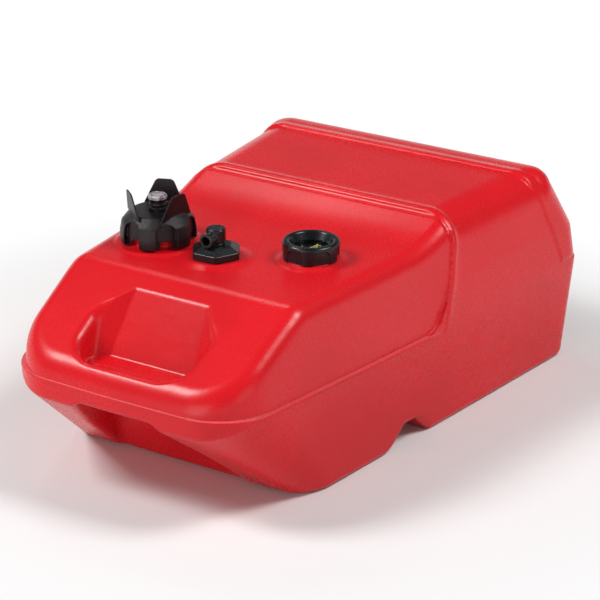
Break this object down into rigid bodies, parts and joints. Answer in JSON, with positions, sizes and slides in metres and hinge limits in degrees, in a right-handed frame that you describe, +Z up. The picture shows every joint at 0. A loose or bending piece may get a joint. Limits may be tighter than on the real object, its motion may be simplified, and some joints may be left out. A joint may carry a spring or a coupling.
{
  "type": "outboard fuel tank",
  "caption": "Portable red outboard fuel tank with a carrying pocket, vented filler cap, fuel pickup with a hose port and a float gauge.",
  "frame": {"origin": "on the floor, under the centre of the tank's bounding box", "axes": "+Z up, the handle end with the hand pocket faces -Y, the gauge stands on the +X side"},
  "size_m": [0.3728, 0.563, 0.2407],
  "materials": {
    "shell_plastic": "moulded polyethylene, satin",
    "black_plastic": "semi-gloss",
    "cap_plastic": "fine grain",
    "grey_plastic": "mottled",
    "inner_plastic": "smooth",
    "screen": "fine mesh",
    "clear_plastic": "clear",
    "pointer_plastic": "pale yellow",
    "float_foam": "closed-cell, matt",
    "seal_rubber": "matt",
    "steel": "bright drawn"
  },
  "bodies": {
    "tank": {"tank_body": "shell_plastic", "pickup_nut": "black_plastic", "pickup_body": "black_plastic", "pickup_plug": "black_plastic", "pickup_gasket": "seal_rubber", "dip_tube": "inner_plastic", "filter_screen": "screen", "check_spring": "steel", "gauge_ring": "black_plastic", "gauge_bowl": "inner_plastic", "gauge_lens": "clear_plastic", "gauge_gasket": "seal_rubber", "guide_rod_left": "steel", "guide_rod_right": "steel", "lower_bracket": "inner_plastic"},
    "cap_seal": {"cap_gasket": "seal_rubber"},
    "cap": {"cap_shell": "cap_plastic", "cap_insert": "cap_plastic"},
    "vent_seal": {"vent_o_ring": "seal_rubber"},
    "vent": {"vent_stem": "cap_plastic", "vent_disc": "grey_plastic", "vent_clip": "inner_plastic"},
    "ball": {"check_ball": "steel"},
    "float": {"float_drum": "float_foam", "float_plate": "inner_plastic"},
    "pointer": {"gauge_pointer": "pointer_plastic", "twist_strip": "steel"}
  },
  "joints": [
    {"name": "cap_lift", "type": "slide", "parent": "tank", "child": "cap_seal", "axis": [0, 0, 1], "range_m": [0, 0.01801]},
    {"name": "cap_turn", "type": "hinge", "parent": "cap_seal", "child": "cap", "pos_m": [-0.078, -0.1005, 0.187], "axis": [0, 0, 1], "range_deg": [0, 1080]},
    {"name": "vent_lift", "type": "slide", "parent": "cap", "child": "vent_seal", "axis": [0, 0, 1], "range_m": [0, 0.00201]},
    {"name": "vent_turn", "type": "hinge", "parent": "vent_seal", "child": "vent", "pos_m": [-0.078, -0.1005, 0.231], "axis": [0, 0, 1], "range_deg": [0, 540]},
    {"name": "ball_lift", "type": "slide", "parent": "tank", "child": "ball", "axis": [0, 0, 1], "range_m": [0, 0.003], "stiffness_N_per_m": 60, "springref_m": -0.001, "deforming": ["check_spring"]},
    {"name": "float_slide", "type": "slide", "parent": "tank", "child": "float", "axis": [0, 0, 1], "range_m": [0, 0.1474]},
    {"name": "pointer_turn", "type": "hinge", "parent": "tank", "child": "pointer", "pos_m": [0.07, -0.0615, 0.19575], "axis": [0, 0, 1], "range_deg": [-270.01, 0]}
  ],
  "couplings": [
    {"joint": "cap_lift", "follows": "cap_turn", "m_per_rad": 0.00095493},
    {"joint": "vent_lift", "follows": "vent_turn", "m_per_rad": 0.00021221},
    {"joint": "pointer_turn", "follows": "float_slide", "rad_per_m": -31.97}
  ]
}
